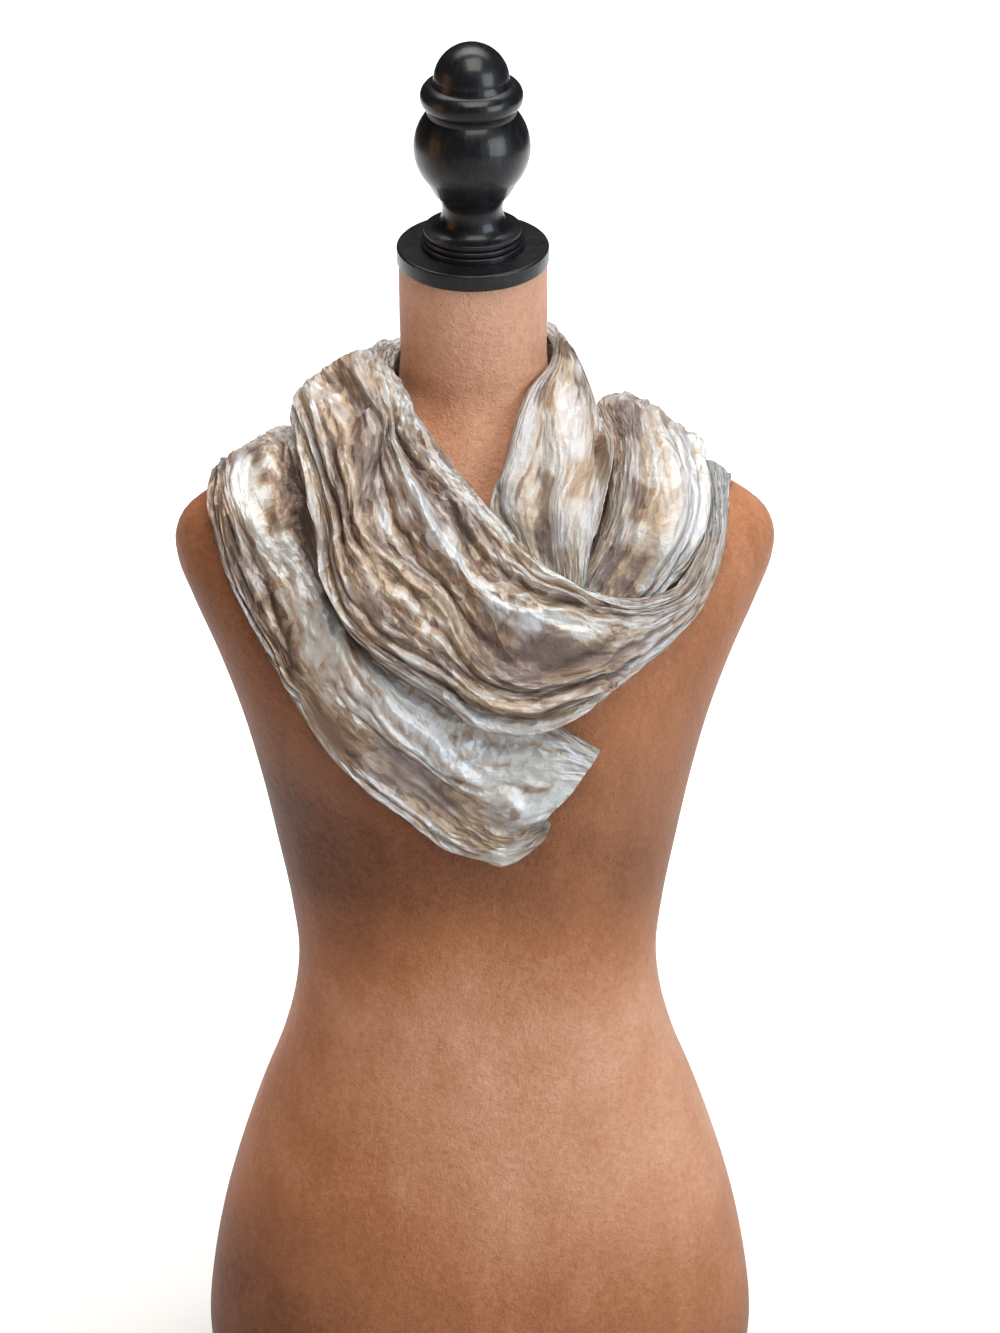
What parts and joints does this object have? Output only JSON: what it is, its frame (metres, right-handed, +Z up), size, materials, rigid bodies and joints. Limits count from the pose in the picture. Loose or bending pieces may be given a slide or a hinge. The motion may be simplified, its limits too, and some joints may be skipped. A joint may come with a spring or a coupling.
{
  "type": "satin scarf on dress form",
  "caption": "Long crinkled satin scarf wound round a limbless brown dress form with a black turned neck cap and finial.",
  "frame": {"origin": "middle of the form's flat base", "axes": "+Z up, the front of the form faces -Y, +X to the right of someone looking at the front"},
  "size_m": [0.4042, 0.2856, 0.9572],
  "materials": {
    "suede": "brown suede-like cover, soft nap, matte",
    "black_wood": "near-black turned wood, satin",
    "satin": "silver and champagne crinkled satin, sheen along the crushed pleats"
  },
  "bodies": {
    "root": {"dress_form": "suede", "neck_plate": "black_wood", "finial": "black_wood", "scarf_tail_drape": "satin", "scarf_back_outer": "satin", "scarf_right_fall": "satin", "scarf_front_wrap": "satin", "scarf_back_neck": "satin", "scarf_inner_fall": "satin"}
  },
  "joints": []
}
